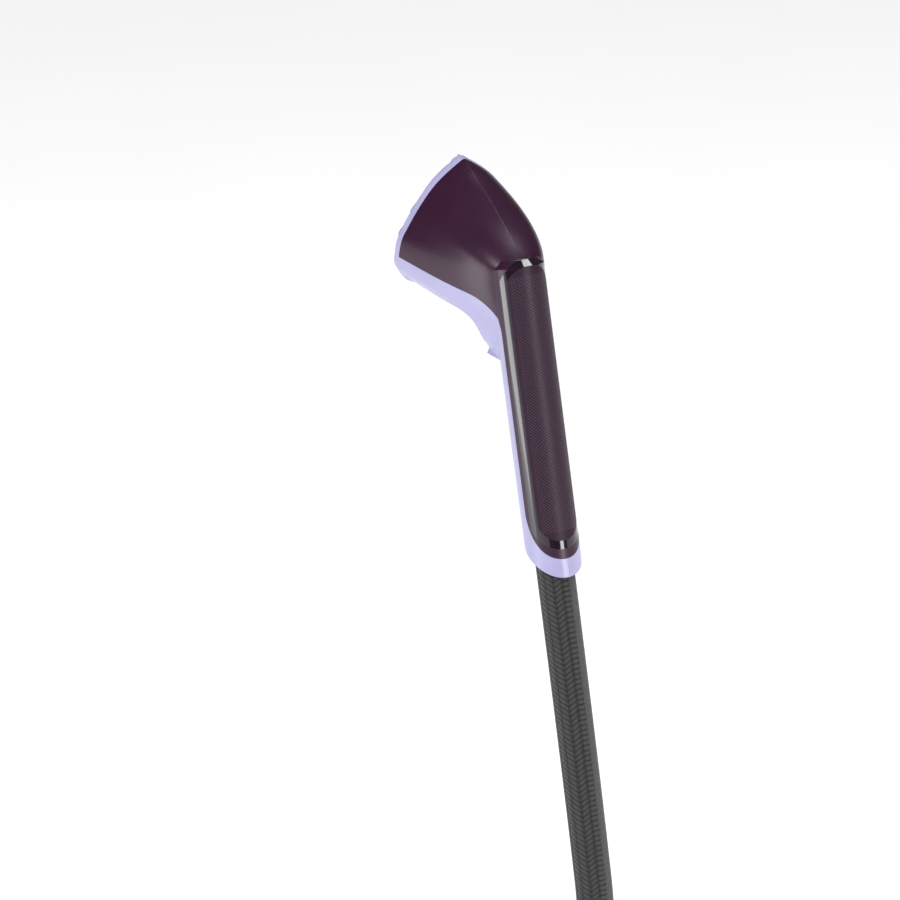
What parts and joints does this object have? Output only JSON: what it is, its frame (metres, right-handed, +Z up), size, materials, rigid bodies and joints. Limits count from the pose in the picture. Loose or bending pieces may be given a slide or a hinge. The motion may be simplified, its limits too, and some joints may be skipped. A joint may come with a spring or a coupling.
{
  "type": "steam iron head with hose",
  "caption": "Handheld steam iron head with a triangular plate, long grip handle, hidden trigger and braided hose coiled to a push-in connector, hung tip up.",
  "frame": {"origin": "on the handle's axis at the neck, under the head, where a cradle's fork holds the iron", "axes": "+Z up as hung, with the plate's tip up; -X the way the plate faces; +X the handle's back; Y = 0 the plane of symmetry of the iron"},
  "size_m": [0.3038, 0.4477, 0.6999],
  "materials": {
    "shell_dark": "satin",
    "shell_lilac": "gloss",
    "ring_gloss": "high gloss",
    "grip_soft": "matt",
    "trigger_dark": "satin",
    "plate_metal": "polished",
    "cast_metal": "as cast",
    "steel": "bright",
    "brass": "bright",
    "silicone": "matt",
    "clear_tube": "satin",
    "inner_plastic": "matt",
    "shield_plastic": "matt",
    "wire": "satin",
    "hose_braid": "woven",
    "hose_end": "satin"
  },
  "bodies": {
    "iron": {"back_shell": "shell_dark", "front_shell": "shell_lilac", "bevel_ring": "ring_gloss", "grip_insert": "grip_soft", "shell_screws": "steel", "soleplate": "plate_metal", "heater_casting": "cast_metal", "heating_element": "steel", "chamber_gasket": "silicone", "chamber_cover": "steel", "cover_screws": "steel", "heat_shield": "shield_plastic", "shield_screws": "steel", "thermostat": "inner_plastic", "thermal_fuse": "inner_plastic", "chassis": "inner_plastic", "microswitch": "inner_plastic", "valve_body": "brass", "trigger_pin": "steel", "steam_line": "clear_tube", "steam_tube": "silicone", "terminal_block": "shield_plastic", "power_wires": "wire", "hose_collar": "inner_plastic", "hose_tube": "hose_braid", "hose_coil": "hose_braid", "hose_tie": "hose_end", "hose_connector": "hose_end", "connector_nozzle": "brass", "connector_oring": "silicone", "connector_pins": "brass"},
    "trigger": {"trigger": "trigger_dark", "trigger_spring": "steel"},
    "plunger": {"valve_plunger": "brass"}
  },
  "joints": [
    {"name": "trigger_press", "type": "hinge", "parent": "iron", "child": "trigger", "pos_m": [-0.00814, 0, -0.01039], "axis": [0, -1, 0], "range_deg": [0, 7], "stiffness_Nm_per_rad": 0.9, "springref_deg": -3.44},
    {"name": "plunger_push", "type": "slide", "parent": "iron", "child": "plunger", "axis": [0.9677, 0, 0.2521], "range_m": [0, 0.0023]}
  ],
  "couplings": [
    {"joint": "plunger_push", "follows": "trigger_press", "m_per_rad": 0.0178}
  ]
}
